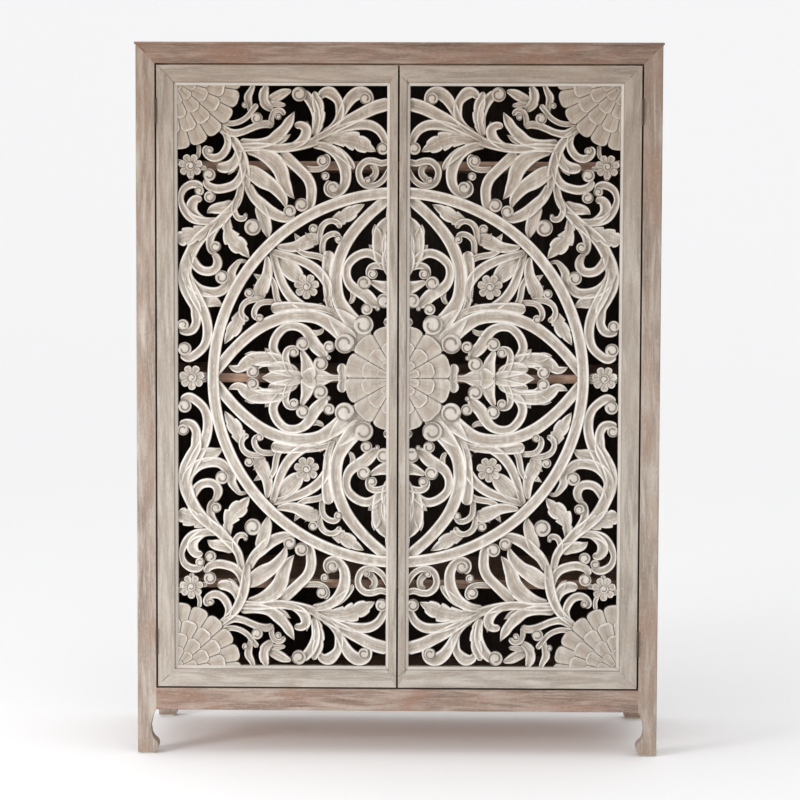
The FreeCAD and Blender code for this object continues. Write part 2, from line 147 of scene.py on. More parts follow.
def mitred(tree, place, shade, middle, half, bead=0.0, lowest=0.0):
    """The colour with a painted highlight on a bead round an opening, a painted shade line just beyond the
    bead, and a broken dark line where two bars are mitred.
    """
    x, y, z = add(tree, "ShaderNodeSeparateXYZ", [place]).node.outputs
    aside = add(tree, "ShaderNodeMath", [x], operation="ABSOLUTE")
    past_edges = []
    for way, centre, reach in zip((aside, z), middle, half):
        off = add(tree, "ShaderNodeMath", [way, centre], operation="SUBTRACT")
        off = add(tree, "ShaderNodeMath", [off], operation="ABSOLUTE")
        past_edges.append(add(tree, "ShaderNodeMath", [off, reach], operation="SUBTRACT"))
    if bead:
        out = add(tree, "ShaderNodeMath", past_edges, operation="MAXIMUM")
        to_groove_shade = add(tree, "ShaderNodeMath", [out, bead + groove_shade_offset], operation="SUBTRACT")
        to_groove_shade = add(tree, "ShaderNodeMath", [to_groove_shade], operation="ABSOLUTE")
        # Painted highlight: a pale band along the bead. Painted shade: a dark line just beyond it.
        shade = glazed(tree, shade, (out, bead, bead - bead_highlight_softness, 0.45, colour("#CFCAC3")),
                       (to_groove_shade, groove_shade_reach, line_core, 0.55, colour("#6A5D50")))
    to_mitre = add(tree, "ShaderNodeMath", past_edges, operation="SUBTRACT")
    to_mitre = add(tree, "ShaderNodeMath", [to_mitre], operation="ABSOLUTE")
    crack = add(tree, "ShaderNodeMapRange", [to_mitre, mitre_reach, line_core])
    broken = add(tree, "ShaderNodeMapRange", [noise(tree, place, [mitre_breaks] * 3), 0.44, 0.58])
    crack = add(tree, "ShaderNodeMath", [crack, broken], operation="MULTIPLY")
    above = add(tree, "ShaderNodeMath", [z, lowest], operation="GREATER_THAN")
    crack = add(tree, "ShaderNodeMath", [crack, above], operation="MULTIPLY")
    return glazed(tree, shade, (crack, 0.0, 1.0, 1.0, colour("#3F342B")))


def wood(name, grain, tones, roughness=(0.55, 0.8), relief=0.25 * mm, top_shade=0.9, **frame_of):
    """Limed or stained wood with its grain along X, Y or Z, given as 0, 1 or 2."""
    material, tree, shader, place = new_material(name)
    shade, height = grained(tree, place, grain, tones)
    # Painted shade: darker towards the top.
    shade = darkened_towards_top(tree, place, shade, top_shade)
    if frame_of:
        shade = mitred(tree, place, shade, **frame_of)
    rough = add(tree, "ShaderNodeMapRange", [height, -0.5, 0.7, *roughness])
    bump = add(tree, "ShaderNodeBump", {"Strength": 0.6, "Distance": relief, "Height": height})
    feed(tree, shader, {"Base Color": shade, "Roughness": rough, "Normal": bump})
    return material


def dress(material, slot, *names):
    """Gives CAD nodes their material. The slot is not used. They already ride with their body."""
    for name in names:
        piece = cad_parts[name]
        piece.data.materials.clear()
        piece.data.materials.append(material)


post_tones = ("#7B6B5E", "#96877B", "#AFA59B", "#927868")
side_tones = ("#7F7064", "#93857A", "#A69B91", "#927D70")
rail_tones = ("#6D594C", "#8C766A", "#A8998D", "#8E6B59")
opening_half = -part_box("front_post_left")[1].x
opening_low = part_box("front_bottom_rail")[1].z
opening_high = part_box("front_top_rail")[0].z
doorway = {"middle": (0.0, (opening_high + opening_low) / 2), "lowest": opening_high,
           "half": (opening_half, (opening_high - opening_low) / 2)}
limed_posts = wood("limed_mango_posts", 2, post_tones, **doorway)
limed_front_rails = wood("limed_mango_front_rails", 0, rail_tones, **doorway)
limed_side_rails = wood("limed_mango_side_rails", 1, post_tones)
limed_side_panels = wood("limed_mango_side_panels", 2, side_tones)
corners = [f"{end}_post_{side}" for end in ("front", "back") for side in ("left", "right")]
dress(limed_posts, "carcass_wood", *corners)
cross_rails = [f"{end}_{level}_rail" for end in ("front", "back") for level in ("top", "bottom")]
dress(limed_front_rails, "carcass_wood", *cross_rails, "top_board")
side_rails = [f"side_{level}_rail_{side}" for level in ("top", "bottom") for side in ("left", "right")]
dress(limed_side_rails, "carcass_wood", *side_rails)
dress(limed_side_panels, "carcass_wood", "side_panel_left", "side_panel_right")

# The inside
# Plain boards on cleats and in grooves. The shelves, their cleats, the bottom board and the door stop are
# stained a warm brown. The back panel is stained a brown so dark it is almost black, which is partly painted
# shade for the inside of the cabinet, so the openwork stands out.

# Almost black: the back's stain together with painted shade for the inside of the cabinet.
back_stain_and_shade_tones = ("#1E1611", "#33261E", "#4A382D", "#3A2A21")
shelf_tones = ("#886A57", "#B8947E", "#D7B49D", "#BF947D")
inside = {"roughness": (0.6, 0.85), "relief": 0.15 * mm, "top_shade": 0.0}
stained_across = wood("brown_stained_shelves", 0, shelf_tones, **inside)
dark_back_stain_and_shade = wood("dark_back_stain_and_painted_shade", 2, back_stain_and_shade_tones, **inside)
levels = ("upper", "middle", "lower")
shelves = [f"shelf_{level}" for level in levels]
cleats = [f"shelf_cleat_{level}_{side}" for level in levels for side in ("left", "right")]
dress(stained_across, "interior_wood", *shelves, "bottom_board", "door_stop")
dress(stained_across, "carcass_wood", *cleats)
dress(dark_back_stain_and_shade, "interior_wood", "back_panel")

# Door frames
# Four moulded bars of limed mango to each door, mitred at the corners, with a bevelled inner
# edge. They are sanded finer and limed whiter than the carcass.

# The bead along each door frame's inner edge, where a highlight and a shade line are painted.
bead_width = 5 * mm
field_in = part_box("right_door_meeting_stile")[1].x
field_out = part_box("right_door_hinge_stile")[0].x
field_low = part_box("right_door_bottom_rail")[1].z
field_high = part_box("right_door_top_rail")[0].z
field_half = (field_high - field_low) / 2
carving_middle = (field_high + field_low) / 2
field = {"middle": ((field_out + field_in) / 2, carving_middle), "bead": bead_width,
         "half": ((field_out - field_in) / 2, field_half)}
door_tones = ("#857A6F", "#9F958A", "#B3ABA2", "#998C80")
limed_stiles = wood("limed_mango_stiles", 2, door_tones, **field)
limed_door_rails = wood("limed_mango_door_rails", 0, door_tones, **field)
for side in ("left", "right"):
    stiles = [f"{side}_door_{kind}_stile" for kind in ("hinge", "meeting")]
    dress(limed_stiles, "door_wood", *stiles)
    rails = [f"{side}_door_{level}_rail" for level in ("top", "bottom")]
    dress(limed_door_rails, "door_wood", *rails)

# The ring
# Each door is one mango board, pierced with a fretsaw and then carved: every band is hollowed with a gouge
# and keeps a rim, painted white partly for the lime and partly as a painted highlight, and the hollows and
# walls are given painted shade. The bands are swept along the given centre lines. The ring is the broadest:
# a flat band round the middle of both doors.

panel_low, panel_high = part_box("right_door_carved_panel")
board_thickness = 14 * mm
face_y = panel_high.y - board_thickness
cut_spacing = 2.5 * mm
tooth_pitch = 24 * mm
edge_swell = 0.8 * mm
full_relief_width = 8 * mm
least_relief = 0.35
full_rim_width = 9 * mm
first_lift = -1.8 * mm
lift_step = 1.1 * mm
lift_levels = 3
dip_depth = 6 * mm
dip_reach = 18 * mm
round_share = 0.9
least_tip = 0.06
fade_reach = 42 * mm
least_fade = 0.1
far_off = 1.0
back_step = 0.02 * mm
back_levels = 23
sharp_angle = math.radians(48)

carved_fibre_size = (1.6 * mm, 22 * mm)
worn_patch = 16 * mm
mark_length = 45 * mm
mark_width = 3 * mm
mark_relief = -1.5
vein_pitch = 5 * mm
vein_relief = 4.0
sawn_grain = (3 * mm, 3 * mm, 60 * mm)
sawn_starts = 0.9 * mm
sawn_full = 0.6 * mm

# Across a band: the share of its half width, the height and the way in from the edge, in mm, then how white
# the rim is, with lime and painted highlight, and how much painted shade the point takes, more the further
# down the wall it lies.
band_profile = (
    (-1, -60, 0, 0, 1), (-1, -1.6, 0, 0.35, 0.15), (-1, -0.4, 0.7, 0.8, 0), (-1, 0, 2.2, 1, 0),
    (-1, -1.1, 4.2, 0.4, 0), (-0.45, -3.4, 0.8, 0, 0), (0, -4.4, 0, 0, 0.05), (0.45, -3.4, -0.8, 0, 0),
    (1, -1.1, -4.2, 0.4, 0), (1, 0, -2.2, 1, 0), (1, -0.4, -0.7, 0.8, 0), (1, -1.6, 0, 0.35, 0.15),
    (1, -60, 0, 0, 1),
)
ring_middle_radius = 353.7 * mm
ring_half_width = 10.8 * mm
ring_relief = 0.5
ring_reach = 96
ring_step = 6
middle_radius = 102 * mm
corner_radius = 132 * mm
corner_overhang = 10 * mm
corner_spot = (field_out + corner_overhang, field_half + corner_overhang)


def loose_mesh(name, places, edges=(), faces=(), **attributes):
    """An object of points, edges or faces with a number on each point for every attribute."""
    mesh = bpy.data.meshes.new(name)
    mesh.from_pydata(places, edges, faces)
    for key, values in attributes.items():
        mesh.attributes.new(key, "FLOAT", "POINT").data.foreach_set("value", values)
    made = bpy.data.objects.new(name, mesh)
    bpy.context.scene.collection.objects.link(made)
    return made


def loop_of(count):
    """The edges that close so many points into a loop."""
    return [(index, (index + 1) % count) for index in range(count)]


profile = loose_mesh(
    "band_profile",
    [(share, height * mm, inset * mm) for share, height, inset, rim, wall in band_profile],
    loop_of(len(band_profile)),
    rim=[row[3] for row in band_profile],
    wall=[row[4] for row in band_profile],
)
# Every band laid so far, as a line and its half widths. The rosettes are laid first, as discs.
laid = [([(0, 0)] * 2, [middle_radius] * 2), ([corner_spot] * 2, [corner_radius] * 2)]


def covers(band, spot):
    """Whether a band lies over a spot."""
    line, halves = band
    for here, after, half in zip(line, line[1:], halves):
        way = Vector(after) - Vector(here)
        share = (Vector(spot) - Vector(here)).dot(way) / max(way.length_squared, mm ** 2)
        if (Vector(here) + way * min(max(share, 0), 1) - Vector(spot)).length < half:
            return True
    return False


def settled(rows):
    """The rows, each with whether its start and its end lie on another band, which it grows from."""
    rows = list(rows)
    first = len(laid)
    laid.extend((line, halves) for teeth, line, halves in rows)
    made = []
    for number, (teeth, line, halves) in enumerate(rows):
        others = laid[:first + number] + laid[first + number + 1:]
        rooted = [any(covers(band, spot) for band in others) for spot in (line[0], line[-1])]
        made.append((teeth, line, halves, rooted))
    return made


band_keys = ("half_width", "along", "ahead", "from_start", "from_end", "teeth", "carved", "lift", "back")


def centre_lines(name, rows, side, lift, carved):
    """Centre lines as loose edges. Each point knows its band's width, teeth and height there."""
    places, edges, facts = [], [], []
    for number, (teeth, line, halves, rooted) in enumerate(rows):
        way = 0.0
        whole = sum(math.dist(here, after) for here, after in zip(line, line[1:]))
        level = lift - lift_step * (number % lift_levels)
        back = back_step * (number % back_levels) - board_thickness
        for index, (a, b) in enumerate(line):
            if index:
                way += math.dist(line[index - 1], line[index])
                edges.append((len(places) - 1, len(places)))
            places.append((side * a, b, 0))
            from_start = way + (not rooted[0]) * far_off
            from_end = whole - way + (not rooted[1]) * far_off
            facts.append((halves[index], way, whole - way, from_start, from_end, teeth, carved, level, back))
    return loose_mesh(name, places, edges, **dict(zip(band_keys, zip(*facts))))


def new_tree(name, **inputs):
    """An empty tree that takes a mesh and the named inputs, and gives a mesh."""
    tree = bpy.data.node_groups.new(name, "GeometryNodeTree")
    tree.interface.new_socket("Geometry", in_out="OUTPUT", socket_type="NodeSocketGeometry")
    for label, kind in (("Geometry", "Geometry"), *inputs.items()):
        tree.interface.new_socket(label, in_out="INPUT", socket_type=f"NodeSocket{kind}")
    return tree, add(tree, "NodeGroupInput").node.outputs


def end_tree(tree, given, shape):
    """Makes the instances real, gives them the chosen finish and sends them out."""
    real = add(tree, "GeometryNodeRealizeInstances", [shape])
    dressed = add(tree, "GeometryNodeSetMaterial", {"Geometry": real, "Material": given["Finish"]})
    add(tree, "NodeGroupOutput", [dressed])


def grown(guide, tree, **values):
    """The plain mesh that a tree makes from a guide. The guide and its modifier are removed."""
    modifier = guide.modifiers.new(tree.name, "NODES")
    modifier.node_group = tree
    for item in tree.interface.items_tree:
        if item.in_out == "INPUT" and item.name in values:
            modifier[item.identifier] = values[item.name]
    bpy.context.view_layer.update()
    mesh = bpy.data.meshes.new_from_object(guide.evaluated_get(bpy.context.evaluated_depsgraph_get()))
    guide.modifiers.remove(modifier)
    bpy.data.objects.remove(guide)
    mesh.materials.clear()
    mesh.materials.append(values["Finish"])
    return mesh


def carved_band_tree():
    """Sweeps the band profile along each centre line, as wide and as high as its points say."""
    inputs = {"Profile": "Object", "Spacing": "Float", "Pitch": "Float", "Finish": "Material"}
    tree, given = new_tree("carved_bands", **inputs)
    line = add(tree, "GeometryNodeMeshToCurve", {"Mesh": given["Geometry"]})
    line = add(tree, "GeometryNodeCurveSplineType", {"Curve": line}, spline_type="CATMULL_ROM")
    line = add(tree, "GeometryNodeResampleCurve", {"Curve": line, "Length": given["Spacing"]}, mode="LENGTH")
    line = add(tree, "GeometryNodeSetCurveNormal", {"Curve": line}, mode="Z_UP")
    cut = add(tree, "GeometryNodeObjectInfo", {"Object": given["Profile"]}, "Geometry")
    cut = add(tree, "GeometryNodeMeshToCurve", {"Mesh": cut})
    position = add(tree, "GeometryNodeInputPosition")
    for key, field in (("centre", position), ("aside", add(tree, "GeometryNodeInputNormal"))):
        inputs = {"Geometry": line, "Name": key, "Value": field}
        line = add(tree, "GeometryNodeStoreNamedAttribute", inputs, data_type="FLOAT_VECTOR")
    inputs = {"Geometry": cut, "Name": "cut", "Value": position}
    cut = add(tree, "GeometryNodeStoreNamedAttribute", inputs, data_type="FLOAT_VECTOR")
    swept = add(tree, "GeometryNodeCurveToMesh", {"Curve": line, "Profile Curve": cut, "Fill Caps": True})

    half_width, along, ahead, from_start, from_end, teeth, carved, lift, back = [
        add(tree, "GeometryNodeInputNamedAttribute", {"Name": key}, "Attribute") for key in band_keys]
    centre, aside, cut = [
        add(tree, "GeometryNodeInputNamedAttribute", {"Name": key}, "Attribute", data_type="FLOAT_VECTOR")
        for key in ("centre", "aside", "cut")]
    share, height, inset = add(tree, "ShaderNodeSeparateXYZ", [cut]).node.outputs

    # The half width, less the teeth along its edges and the rounding of its ends.
    tooth = add(tree, "ShaderNodeMath", [along, given["Pitch"]], operation="DIVIDE")
    tooth = add(tree, "ShaderNodeMath", [tooth], operation="FRACT")
    arch = add(tree, "ShaderNodeMath", [2.0, tooth], operation="SUBTRACT")
    arch = add(tree, "ShaderNodeMath", [tooth, arch], operation="MULTIPLY")
    arch = add(tree, "ShaderNodeMath", [arch], operation="SQRT")
    loss = add(tree, "ShaderNodeMath", [1.0, arch], operation="SUBTRACT")
    loss = add(tree, "ShaderNodeMath", [teeth, loss], operation="MULTIPLY")
    left = add(tree, "ShaderNodeMath", [1.0, loss], operation="SUBTRACT")
    half = add(tree, "ShaderNodeMath", [half_width, left], operation="MULTIPLY")
    to_end = add(tree, "ShaderNodeMath", [along, ahead], operation="MINIMUM")
    rounding = add(tree, "ShaderNodeMath", [half_width, round_share], operation="MULTIPLY")
    tip = add(tree, "ShaderNodeMath", [to_end, rounding], operation="DIVIDE", use_clamp=True)
    arch = add(tree, "ShaderNodeMath", [2.0, tip], operation="SUBTRACT")
    arch = add(tree, "ShaderNodeMath", [tip, arch], operation="MULTIPLY")
    tip = add(tree, "ShaderNodeMath", [arch], operation="SQRT")
    tip = add(tree, "ShaderNodeMath", [tip, least_tip], operation="MAXIMUM")
    half = add(tree, "ShaderNodeMath", [half, tip], operation="MULTIPLY")
    rim = add(tree, "ShaderNodeMath", [half, full_rim_width], operation="DIVIDE", use_clamp=True)
    inward = add(tree, "ShaderNodeMath", [inset, rim], operation="MULTIPLY")
    across = add(tree, "ShaderNodeMath", [share, half, inward], operation="MULTIPLY_ADD")

    # The height, which dips where the band grows from another one.
    relief = add(tree, "ShaderNodeMapRange", [half, 0.0, full_relief_width, least_relief, 1.0])
    relief = add(tree, "ShaderNodeMath", [relief, carved], operation="MULTIPLY")
    up = add(tree, "ShaderNodeMath", [height, relief, lift], operation="MULTIPLY_ADD")
    to_root = add(tree, "ShaderNodeMath", [from_start, from_end], operation="MINIMUM")
    dip = add(tree, "ShaderNodeMapRange", [to_root, 0.0, dip_reach, 1.0, 0.0])
    dip = add(tree, "ShaderNodeMath", [dip, dip], operation="MULTIPLY")
    up = add(tree, "ShaderNodeMath", [dip, -dip_depth, up], operation="MULTIPLY_ADD")
    up = add(tree, "ShaderNodeMath", [up, back], operation="MAXIMUM")
    sideways = add(tree, "ShaderNodeVectorMath", {0: aside, "Scale": across}, operation="SCALE")
    place = add(tree, "ShaderNodeVectorMath", [centre, sideways], operation="ADD")
    upwards = add(tree, "ShaderNodeCombineXYZ", {"Z": up})
    place = add(tree, "ShaderNodeVectorMath", [place, upwards], operation="ADD")
    fade = add(tree, "ShaderNodeMapRange", [to_root, 0.0, fade_reach, least_fade, 1.0])
    for key, value in (("across", across), ("fade", fade)):
        inputs = {"Geometry": swept, "Name": key, "Value": value}
        swept = add(tree, "GeometryNodeStoreNamedAttribute", inputs)
    end_tree(tree, given, add(tree, "GeometryNodeSetPosition", {"Geometry": swept, "Position": place}))
    return tree


def carved_wood(name, tones, lime_and_highlight, hollow, wall, back, fading=False):
    """Carved board: rims white with lime and painted highlight, painted brown shade in the hollows, painted
    shade that darkens down the walls, and a bare brown back.
    """
    material, tree, shader, place = new_material(name)
    lime_and_highlight, hollow, wall, back = [colour(code) for code in (lime_and_highlight, hollow, wall, back)]
    rim, wall_shade_share, teeth, along, across = [
        add(tree, "ShaderNodeAttribute", (), "Fac", attribute_name=key)
        for key in ("rim", "wall", "teeth", "along", "across")]
    if fading:
        fade = add(tree, "ShaderNodeAttribute", (), "Fac", attribute_name="fade")
        rim = add(tree, "ShaderNodeMath", [rim, fade], operation="MULTIPLY")
    shade, height = grained(tree, place, 2, tones, carved_fibre_size)
    worn = noise(tree, place, [worn_patch] * 3, 4.0)
    # Painted shade in the hollows, away from the rims, stronger in patches.
    hollow_shade_patches = add(tree, "ShaderNodeMapRange", [worn, 0.34, 0.64, 0.15, 1.0])
    hollow_shade = add(tree, "ShaderNodeMath", [1.0, rim], operation="SUBTRACT")
    hollow_shade = add(tree, "ShaderNodeMath", [hollow_shade, hollow_shade_patches], operation="MULTIPLY")
    run = add(tree, "ShaderNodeCombineXYZ", [along, across])
    marks = noise(tree, run, [mark_length, mark_width, 1.0], 3.0, 0.4)
    # The rims' white, lime and painted highlight, is patchy and on the bands fainter near their roots.
    left = add(tree, "ShaderNodeMapRange", [worn, 0.3, 0.55, 0.35, 0.95])
    limed = add(tree, "ShaderNodeMath", [rim, left], operation="MULTIPLY")
    # Painted shade in the hollows, darker and paler tool marks, then the rims' lime and painted highlight.
    shade = glazed(tree, shade, (hollow_shade, 0.0, 1.0, 1.0, hollow), (marks, 0.5, 0.68, 0.6, hollow),
                   (marks, 0.48, 0.3, 0.45, lime_and_highlight), (limed, 0.0, 1.0, 1.0, lime_and_highlight))
    # Painted shade: darker towards the top.
    shade = darkened_towards_top(tree, place, shade)
    bare = glazed(tree, wall, (noise(tree, place, sawn_grain, 4.0), 0.35, 0.65, 1.0, back))
    depth = add(tree, "ShaderNodeSeparateXYZ", [place], "Y")
    # Painted shade, darker down the walls of the piercing, then the bare back of the board.
    shade = glazed(tree, shade, (wall_shade_share, 0.02, 0.8, 1.0, wall),
                   (depth, panel_high.y - sawn_starts, panel_high.y - sawn_full, 1.0, bare))
    sweep_back = add(tree, "ShaderNodeMath", [across], operation="ABSOLUTE")
    sweep_back = add(tree, "ShaderNodeMath", [along, sweep_back], operation="ADD")
    veins = add(tree, "ShaderNodeMath", [sweep_back, 2 * math.pi / vein_pitch], operation="MULTIPLY")
    veins = add(tree, "ShaderNodeMath", [veins], operation="SINE")
    depths = add(tree, "ShaderNodeMath", [teeth, vein_relief], operation="MULTIPLY")
    height = add(tree, "ShaderNodeMath", [veins, depths, height], operation="MULTIPLY_ADD")
    height = add(tree, "ShaderNodeMath", [marks, mark_relief, height], operation="MULTIPLY_ADD")
    bump = add(tree, "ShaderNodeBump", {"Strength": 0.5, "Distance": 0.2 * mm, "Height": height})
    feed(tree, shader, {"Base Color": shade, "Roughness": 0.78, "Normal": bump})
    return material


def carved_piece(name, mesh, side):
    """Cuts the carving at the board's edges, tucks it under the frame's lip and stands it up."""
    shape = bmesh.new()
    shape.from_mesh(mesh)
    board_xs = sorted((side * panel_low.x, side * panel_high.x))
    board_zs = (panel_low.z - carving_middle, panel_high.z - carving_middle)
    for axis, limits in ((0, board_xs), (1, board_zs)):
        for sign, limit in zip((-1, 1), limits):
            place = [limit if axis == turn else 0 for turn in range(3)]
            normal = [sign if axis == turn else 0 for turn in range(3)]
            everything = shape.verts[:] + shape.edges[:] + shape.faces[:]
            cut = bmesh.ops.bisect_plane(shape, geom=everything, plane_co=place, plane_no=normal,
                                         clear_outer=True)
            rims = [piece for piece in cut["geom_cut"] if isinstance(piece, bmesh.types.BMEdge)]
            bmesh.ops.holes_fill(shape, edges=rims, sides=0)
    bmesh.ops.recalc_face_normals(shape, faces=shape.faces[:])
    for vertex in shape.verts:
        a, b, up = vertex.co
        if not field_in < side * a < field_out or abs(b) > field_half:
            up = min(up, 0)
        vertex.co = (a, face_y - up, carving_middle + b)
    shape.to_mesh(mesh)
    shape.free()
    mesh.shade_smooth()
    mesh.set_sharp_from_angle(angle=sharp_angle)
    hand = "right" if side > 0 else "left"
    piece = bpy.data.objects.new(f"{hand}_{name}", mesh)
    bpy.context.scene.collection.objects.link(piece)
    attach(piece, f"{hand}_door")
    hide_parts(f"{hand}_door_carved_panel")


carving_tones = ("#8C8074", "#B1A79C", "#D3CEC6", "#AA9C90")
# The rims' lime with painted highlight, the painted shade in the hollows, the painted shade down the walls
# (also the dark of the bare back), and the bare back's grain.
carving_shades = ("#DDD9D3", "#968B7F", "#43392F", "#857362")
whitewashed = carved_wood("whitewashed_mango_carving", carving_tones, *carving_shades)
whitewashed_bands = carved_wood("whitewashed_mango_bands", carving_tones, *carving_shades, fading=True)
band_tree = carved_band_tree()
sweep = {"Profile": profile, "Spacing": cut_spacing, "Pitch": tooth_pitch, "Finish": whitewashed_bands}


def carve_bands(name, rows, lift=first_lift, carved=1.0):
    """Carves a group of bands on both doors."""
    bands = settled(rows)
    for side in (-1, 1):
        carved_piece(name, grown(centre_lines(name, bands, side, lift, carved), band_tree, **sweep), side)


angles = [math.radians(turn) for turn in range(-ring_reach, ring_reach + 1, ring_step)]
arc = [(ring_middle_radius * math.cos(turn), ring_middle_radius * math.sin(turn)) for turn in angles]
carve_bands("ring", [(0.0, arc, [ring_half_width] * len(arc))], 0.0, ring_relief)

# Carved scrolls inside the ring
# Four pointed petals, scrolls and stems, cut from the same board as the ring. Each row is one
# band of the upper right quarter: the places of its centre line and its half width there, in mm.

ring_stems = (
    ((356, 2, 8), (343, 20, 10), (312, 56, 10), (280, 85, 10.5), (250, 104, 11), (215, 116, 11),
     (180, 119, 11.5), (150, 114, 12), (125, 100, 14), (104, 84, 16), (84, 66, 16)),
    ((60, 60, 26), (88, 88, 27), (112, 112, 20), (132, 132, 8)),
    ((118, 124, 5), (150, 134, 6), (185, 137, 7), (215, 136, 9), (243, 131, 11)),
    ((106, -12, 8), (106, 0, 8), (106, 8, 7), (107, 17, 9), (106, 28, 6)),
    ((100, 0, 7), (118, 0, 5), (128, 0, 6.5), (140, 0, 13), (155, 0, 19), (170, 0, 19), (186, 0, 10)),
    ((139, 35, 5), (143, 45, 9), (150, 53, 11), (158, 61, 11.5), (164, 71, 11), (170, 82, 10),
     (178, 91, 9), (189, 97, 8), (202, 99, 7.5), (216, 96, 7.5), (228, 86, 8), (236, 73, 8),
     (239, 59, 8), (235, 46, 8), (227, 36, 8), (218, 28, 7)),
    ((200, 4, 7), (209, 18, 6.5), (214, 32, 6), (215, 44, 6), (210, 54, 5.5), (200, 57, 4.5),
     (192, 55, 3)),
    ((170, -6, 10), (171, 8, 14), (173, 20, 12.5), (176, 32, 9.5), (181, 44, 6), (185, 53, 3)),
    ((217, 20, 4), (230, 25, 4.5), (247, 26, 4.5), (262, 25, 4.5), (275, 18, 6)),
    ((140, 143, 5), (133, 158, 6), (135, 178, 8), (145, 195, 9), (158, 208, 9), (173, 218, 8.5),
     (191, 226, 8), (213, 233, 7), (242, 241, 6)),
    ((149, 255, 5), (150, 271, 5), (147, 286, 5.5), (139, 296, 5), (127, 300, 4.5), (116, 296, 5),
     (110, 286, 4)),
    ((144, 233, 5), (145, 250, 5), (142, 264, 5), (132, 273, 5), (120, 275, 5), (112, 268, 5)),
    ((135, 223, 6), (149, 231, 5.5), (162, 234, 5.5), (178, 237, 5), (194, 246, 4)),
)
axis_slack = 4 * mm


def sized(rows, across, up):
    """Table rows in metres: the share for the teeth, the centre line and the half widths."""
    for teeth, *spots in rows:
        line = [(a * across, b * up) for a, b, half in spots]
        yield teeth, line, [half and half * across + edge_swell for a, b, half in spots]


def turned_rows(rows, swap):
    """Each row in every place that the carving's symmetry gives it on the right door."""
    for teeth, places, halves in rows:
        turns = [places]
        if swap and any(abs(a - b) > axis_slack for a, b in places):
            turns.append([(b, a) for a, b in places])
        for turn in turns:
            yield teeth, turn, halves
            if any(b for a, b in turn):
                yield teeth, [(a, -b) for a, b in turn], halves


stems = [(0.0, *row) for row in ring_stems]
carve_bands("ring_stems", turned_rows(sized(stems, mm, mm), True))

# Carved leaves inside the ring
# Palm leaves, hooks and buds between the scrolls, cut from the same board. Each row starts with
# how deep the leaf's teeth are, as a share of its width.

ring_leaves = (
    (0, (142, 98, 0), (146, 90, 3.5), (155, 86, 4.5), (168, 86, 6)),
    (0, (192, 7, 8), (205, 13, 12), (220, 18, 13), (236, 19, 11), (249, 18, 5)),
    (0, (180, 0, 8), (192, 0, 13), (205, 0, 15), (220, 0, 15), (238, 0, 13), (250, 0, 7), (262, 0, 0)),
    (0, (208, 22, 8), (230, 34, 11), (252, 36, 13), (275, 35, 13), (290, 27, 12), (304, 17, 7.5),
     (315, 18, 5), (325, 23, 0)),
    (0, (240, 40, 9), (248, 49, 6), (255, 57, 0)),
    (0, (266, 38, 10), (282, 43, 7), (294, 45, 0)),
    (0, (184, 185, 8), (197, 198, 15), (212, 213, 16), (232, 232, 9)),
    (0.35, (129, 300, 6), (113, 304, 12), (98, 311, 14), (82, 322, 10), (64, 332, 0)),
    (0, (149, 259, 8), (162, 264, 13), (178, 258, 13), (195, 251, 10), (212, 249, 8), (232, 251, 3)),
    (0, (168, 263, 9), (178, 278, 0)),
    (0, (186, 257, 10), (199, 277, 0)),
)
carve_bands("ring_leaves", turned_rows(sized(ring_leaves, mm, mm), True))

# Vines outside the ring
# Scrolling stems that fill the corners of each door, cut like the scrolls inside the ring. Their
# places are on a grid of small squares that fills the right door's upper half.

